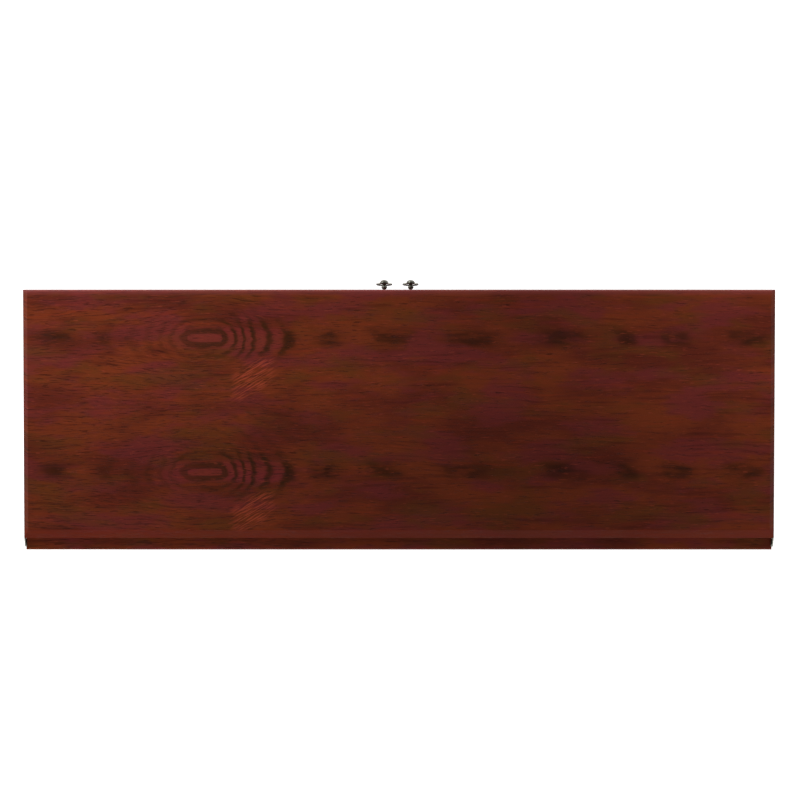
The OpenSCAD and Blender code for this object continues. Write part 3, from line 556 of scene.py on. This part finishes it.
ROSETTE_R = 8.0
DOME_R = 7.1
DOME_H = 5.2
DOME_STEP = 10             # degrees from one ring of the dome to the next
EYE_R = 3.0
EYE_HOLE_R = 1.5
EYE_W = 4.0
EYE_CORNER = 0.4
RING_R = 14.0
WIRE_TOP = 1.2
WIRE_LOW = 1.65
RING_LEAN = 8.0            # degrees
POST_SIDES, EYE_SIDES, WEB_SIDES, RING_SIDES, WIRE_SIDES = 40, 32, 20, 72, 16
# (distance from the dome's tip, radius)
POST_PROFILE = [(5.9, 7.1), (6.5, 6.7), (6.9, 5.6), (7.3, 4.2), (8.0, 3.4), (9.0, 3.1),
                (9.8, 3.3), (10.3, 3.9), (10.9, 4.5), (11.7, 4.9), (13.2, 4.9), (14.6, 4.2),
                (15.8, 3.1), (16.6, 2.2), (18.0, 1.8), (22.4, 1.8), (23.2, 2.3), (23.5, 3.8),
                (23.9, 4.8), (24.6, 5.1), (24.9, 6.4), (25.4, 7.4), (26.2, 7.9), (27.0, 8.0),
                (27.0, 2.0), (41.0, 2.0)]
# (height above the eye's middle, half width, half depth)
WEB_SECTIONS = [(EYE_R - 0.5, 1.7, 1.3), (EYE_R + 1.5, 1.4, 1.2), (6.2, 1.5, 1.3), (8.0, 2.0, 1.6)]
PAINTED_LIGHT_FROM, PAINTED_LIGHT_TO = 1.4, 0.6    # painted light below the eye, in ring radii


def ring_pivot(side):
    joints = frame["record"]["behaviour"]["joints"]
    return Vector(next(j["pos_m"] for j in joints if j["name"] == f"ring_{side}_swing"))


def add_turning(mesh, tip, profile):
    """Adds a turned shape that runs along +Y from its tip."""
    loops = []
    for distance, radius in profile:
        middle = tip + Vector((0, distance * MM, 0))
        loops.append([middle + radius * MM * Vector((math.cos(t), 0, math.sin(t)))
                      for t in circle(POST_SIDES if radius > 0 else 1)])
    loft(mesh, loops)


def add_eye(mesh, middle):
    """Adds the short tube that the ring hangs in, with eased corners."""
    side, flat = EYE_W / 2, EYE_W / 2 - EYE_CORNER
    section = [(-flat, EYE_R), (flat, EYE_R), (side, EYE_R - EYE_CORNER),
               (side, EYE_HOLE_R + EYE_CORNER), (flat, EYE_HOLE_R), (-flat, EYE_HOLE_R),
               (-side, EYE_HOLE_R + EYE_CORNER), (-side, EYE_R - EYE_CORNER)]
    loops = []
    for turn in circle(EYE_SIDES):
        spoke = Vector((0, math.cos(turn), math.sin(turn)))
        loops.append([middle + MM * (Vector((x, 0, 0)) + r * spoke) for x, r in section])
    hoop(mesh, loops)


def add_web(mesh, pivot):
    """Adds the web that joins the eye to the post above it."""
    loft(mesh, [[pivot + MM * Vector((half_x * math.cos(t), half_y * math.sin(t), height))
                 for t in circle(WEB_SIDES)] for height, half_x, half_y in WEB_SECTIONS])


def pull_post(side):
    """The pull's cast post: a low dome, a neck with an eye for the ring, a bulb and a rosette."""
    node = f"door_{side}_pull_post"
    low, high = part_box(node)
    tip = Vector(((low.x + high.x) / 2, low.y, high.z - ROSETTE_R * MM))
    turns = [math.radians(turn) for turn in range(0, 91, DOME_STEP)]
    dome = [(DOME_H * (1 - math.cos(turn)), DOME_R * math.sin(turn)) for turn in turns]
    mesh = bmesh.new()
    add_turning(mesh, tip, dome + POST_PROFILE)
    add_eye(mesh, ring_pivot(side))
    add_web(mesh, ring_pivot(side))
    add_piece(f"{side}_pull", mesh, PEWTER, f"door_{side}", "pewter", node)


def pull_ring(side):
    """The pull's ring, thin at the eye and heavier at the grip, with a painted highlight on its
    lower half and painted shade on its upper half.
    """
    pivot = ring_pivot(side)
    lean = math.radians(RING_LEAN)
    down = Vector((0, -math.sin(lean), -math.cos(lean)))
    ahead = Vector((0, -math.cos(lean), math.sin(lean)))
    middle = pivot + down * (RING_R - WIRE_TOP) * MM
    loops = []
    for turn in circle(RING_SIDES):
        spoke = -math.cos(turn) * down + math.sin(turn) * Vector((1, 0, 0))
        wire = WIRE_TOP + (WIRE_LOW - WIRE_TOP) * (1 - math.cos(turn)) / 2
        loops.append([middle + MM * ((RING_R - wire + wire * math.cos(a)) * spoke
                                     + wire * math.sin(a) * ahead) for a in circle(WIRE_SIDES)])
    mesh = bmesh.new()
    hoop(mesh, loops)
    painted_light_z = [pivot.z - share * RING_R * MM for share in (PAINTED_LIGHT_FROM, PAINTED_LIGHT_TO)]
    # pewter with a painted highlight on the ring's lower half and painted shade on its upper half
    worn = metal(f"painted_light_pewter_{side}", srgb(196, 196, 186), srgb(50, 48, 42), 0.30, painted_light_z)
    add_piece(f"{side}_pull_ring", mesh, worn, f"ring_{side}", "pewter", f"ring_{side}", smooth=80)


# ---- Door mouldings --------------------------------------------------------------------------

GROOVE = 8 * MM            # depth of the groove that holds a door's panel
OVOLO_W = 4.6 * MM
OVOLO_D = 6.6 * MM
OVOLO_STEPS = 8
OVOLO_START = 0.9 * MM     # depth at which the round begins
OVOLO_LIP = 0.3 * MM       # how far the moulding starts and ends behind its round


def door_moulding(side):
    """The quarter-round stuck round the inside of a door's frame, mitred at its corners."""
    low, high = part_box(f"door_{side}_panel")
    face_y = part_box(f"door_{side}_stiles")[0].y
    x0, x1, z0, z1 = low.x + GROOVE, high.x - GROOVE, low.z + GROOVE, high.z - GROOVE
    section = [(0.0, OVOLO_LIP)]
    for i in range(OVOLO_STEPS + 1):
        turn = math.radians(90 * i / OVOLO_STEPS)
        depth = OVOLO_START + (OVOLO_D - OVOLO_START) * (1 - math.cos(turn))
        section.append((OVOLO_W * math.sin(turn), depth))
    section += [(OVOLO_W, OVOLO_D + OVOLO_LIP), (0.0, OVOLO_D + OVOLO_LIP)]
    corners = [(x0, z0, 1, 1), (x1, z0, -1, 1), (x1, z1, -1, -1), (x0, z1, 1, -1)]
    mesh = bmesh.new()
    hoop(mesh, [[Vector((x + dx * u, face_y + d, z + dz * u)) for u, d in section]
                for x, z, dx, dz in corners])
    add_piece(f"door_{side}_moulding", mesh, FRAME_WOOD["z"], f"door_{side}", "frame_wood",
              smooth=30)


# ---- Cloth and felt --------------------------------------------------------------------------

RIM = 0.5 * MM             # rounding of a soft slab's rim
RIM_STEP = 30              # degrees
RUMPLE = 0.05 * MM         # how far the glued cloth rises and falls
CLOTH_CELLS = (90, 30)
CLOTH_SEEDS = {"bed": 1.0, "leaf": 4.0}
FELT_CELLS = (10, 12)


def rim_loop(middle, half, lift, inset, cells):
    """The points round a slab at one height, drawn in by inset."""
    corners = [Vector((-1, -1, 0)), Vector((1, -1, 0)), Vector((1, 1, 0)), Vector((-1, 1, 0))]
    points = []
    for k, corner in enumerate(corners):
        following, count = corners[(k + 1) % 4], cells[k % 2]
        for i in range(count):
            way = corner.lerp(following, i / count)
            points.append(middle + Vector((way.x * (half.x - inset), way.y * (half.y - inset),
                                           lift)))
    return points


def sag(x, y, seed):
    """The slow rise and fall of a glued cloth, as a share of its rumple."""
    return (math.sin(31 * x + seed) * math.sin(43 * y + 2 * seed)
            + 0.5 * math.sin(77 * x - 59 * y))


def soft_slab(low, high, cells, rumple=0.0, seed=0.0):
    """A thin soft slab in a box: a rounded rim, and faces that may rise and fall a little."""
    mesh = bmesh.new()
    middle, half = (low + high) / 2, (high - low) / 2
    turns = [math.radians(turn) for turn in range(-90, 91, RIM_STEP)]
    loft(mesh, [rim_loop(middle, half, half.z * math.sin(turn), RIM * (1 - math.cos(turn)), cells)
                for turn in turns], closed_ends=False)
    cells_x, cells_y = cells
    for lift in (-half.z, half.z):
        rows = []
        for j in range(cells_y + 1):
            row = []
            for i in range(cells_x + 1):
                x = (2 * i / cells_x - 1) * (half.x - RIM)
                y = (2 * j / cells_y - 1) * (half.y - RIM)
                inner = 0 < i < cells_x and 0 < j < cells_y
                dent = abs(rumple * sag(x, y, seed)) if inner else 0.0
                place = Vector((x, y, lift - math.copysign(dent, lift)))
                row.append(mesh.verts.new(middle + place))
            rows.append(row)
        for below, above in zip(rows, rows[1:]):
            for i in range(cells_x):
                mesh.faces.new([below[i], below[i + 1], above[i + 1], above[i]])
    weld(mesh)
    bmesh.ops.recalc_face_normals(mesh, faces=mesh.faces)
    return mesh


def baize_cloth(board, body):
    """The playing surface: felted wool glued into the board's recess."""
    node = f"{board}_baize"
    low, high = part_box(node)
    mesh = soft_slab(low, high, CLOTH_CELLS, RUMPLE, CLOTH_SEEDS[board])
    piece = add_piece(f"{board}_cloth", mesh, BAIZE, body, "baize", node, smooth=80)


def felt_pad(side):
    """The felt on a loper's tail, which the open leaf lies on."""
    node = f"loper_{side}_pad"
    mesh = soft_slab(*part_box(node), FELT_CELLS)
    piece = add_piece(f"{side}_felt", mesh, FELT, f"loper_{side}", "felt", node, smooth=80)


# ---- Eased edges -----------------------------------------------------------------------------

# millimetres taken off the edges of the nodes whose names hold each word
ARRIS = {"leaf": 1.2, "bed": 0.8, "leg": 1.2, "rail": 0.8, "stiles": 0.8, "loper": 0.8,
         "shelf": 0.8, "divider": 0.6, "panel": 0.5, "guide": 0.5, "blocks": 0.6, "floor": 0.4,
         "glides": 0.6, "catches": 0.6}
NOT_EASED = ("baize", "screws", "hinge", "pins", "pad", "strike", "pull", "ring_")
EDGE_ANGLE = 35            # degrees by which a face has to turn for its edge to be eased
LEAF_EDGE_ANGLE = 12       # the leaf's bevels turn by less


def ease_edges():
    """Takes the sharpness off the edges of the wooden and moulded nodes."""
    for node, obj in frame["nodes"].items():
        if any(word in node for word in NOT_EASED):
            continue
        arris = obj.modifiers.new("arris", "BEVEL")
        arris.width = MM * next(size for word, size in ARRIS.items() if word in node)
        arris.segments = 2
        arris.limit_method = "ANGLE"
        arris.angle_limit = math.radians(LEAF_EDGE_ANGLE if node == "leaf" else EDGE_ANGLE)
        obj.data.shade_smooth()
        obj.data.set_sharp_from_angle(angle=math.radians(EDGE_ANGLE))


dress_nodes()
for side in ("left", "right"):
    pull_post(side)
    pull_ring(side)
    door_moulding(side)
    felt_pad(side)
baize_cloth("bed", "table")
baize_cloth("leaf", "leaf")
ease_edges()

# ---- Camera, light and floor -----------------------------------------------------------------

CAMERA_RISE = 5.0          # camera above the top
CAMERA_AHEAD = 0.029       # camera ahead of the leaf's front edge
CAMERA_SIDE = 0.0494       # camera beside the table's middle
CAMERA_TILT = 2.61         # lean of the view towards the back, degrees
CAMERA_SENSOR = 36.0       # millimetres
CAMERA_LENS = 138.88       # millimetres
CAMERA_SHIFT = (0.0392, 0.0155)     # brings the table back to the picture's middle
CAMERA_REACH = 100         # farthest distance seen

LAMP_AIM = (0, 0, 0.7)
# size of the square lamp, its power in watts, and its place
LAMPS = {"key": (3.4, 190, (3.2, -3.6, 2.8)), "back": (4.5, 120, (-1.0, 5.2, 2.4))}

FLOOR_SIZE = 40
FLOOR_GLOW = 0.75
HORIZON = 1.02             # brightness of the studio's walls
ZENITH = 0.10              # brightness of its ceiling, which the top mirrors
FADE_FROM, FADE_TO = 0.15, 0.85     # heights between which the walls fade to the ceiling


def make_camera():
    """A long lens straight above the table, with the table's front at the top of the picture."""
    camera = bpy.data.objects.new("camera", bpy.data.cameras.new("camera"))
    bpy.context.scene.collection.objects.link(camera)
    camera.data.lens = CAMERA_LENS
    camera.data.sensor_width = CAMERA_SENSOR
    camera.data.shift_x, camera.data.shift_y = CAMERA_SHIFT
    camera.data.clip_end = CAMERA_REACH
    tilt = math.radians(CAMERA_TILT)
    forward = Vector((0, math.sin(tilt), -math.cos(tilt)))
    right = Vector((-1, 0, 0))
    up = right.cross(forward)
    turn = Matrix((right, up, -forward)).transposed().to_4x4()
    place = (CAMERA_SIDE, FRONT_Y - CAMERA_AHEAD, TOP_Z + CAMERA_RISE)
    camera.matrix_world = Matrix.Translation(place) @ turn
    bpy.context.scene.camera = camera


def make_lamp(name, size, power, place):
    """A soft square lamp that faces the table."""
    lamp = bpy.data.objects.new(name, bpy.data.lights.new(name, "AREA"))
    bpy.context.scene.collection.objects.link(lamp)
    lamp.data.size = size
    lamp.data.energy = power
    lamp.location = place
    aim = Vector(LAMP_AIM) - Vector(place)
    lamp.rotation_euler = aim.to_track_quat("-Z", "Y").to_euler()


def make_floor():
    """A plain pale floor that stays white under the table."""
    bpy.ops.mesh.primitive_plane_add(size=FLOOR_SIZE)
    floor = bpy.context.object
    floor.name = "floor"
    material = Shader("pale_floor").finish(
        Base_Color=srgb(250, 250, 250), Roughness=0.9, Specular_IOR_Level=0.0,
        Emission_Color=srgb(255, 255, 255), Emission_Strength=FLOOR_GLOW)
    floor.data.materials.append(material)


def make_studio():
    """Bright walls that fade to a dark ceiling."""
    world = bpy.data.worlds.new("studio")
    bpy.context.scene.world = world
    world.use_nodes = True
    nodes, links = world.node_tree.nodes, world.node_tree.links
    height = nodes.new("ShaderNodeSeparateXYZ")
    links.new(nodes.new("ShaderNodeTexCoord").outputs["Generated"], height.inputs[0])
    fade = nodes.new("ShaderNodeMapRange")
    links.new(height.outputs["Z"], fade.inputs["Value"])
    for name, value in (("From Min", FADE_FROM), ("From Max", FADE_TO),
                        ("To Min", HORIZON), ("To Max", ZENITH)):
        fade.inputs[name].default_value = value
    links.new(fade.outputs[0], nodes["Background"].inputs["Strength"])
    nodes["Background"].inputs["Color"].default_value = (1, 1, 1, 1)
    bpy.context.scene.view_settings.view_transform = "Standard"


make_camera()
make_floor()
make_studio()
for lamp_name, lamp_settings in LAMPS.items():
    make_lamp(lamp_name, *lamp_settings)
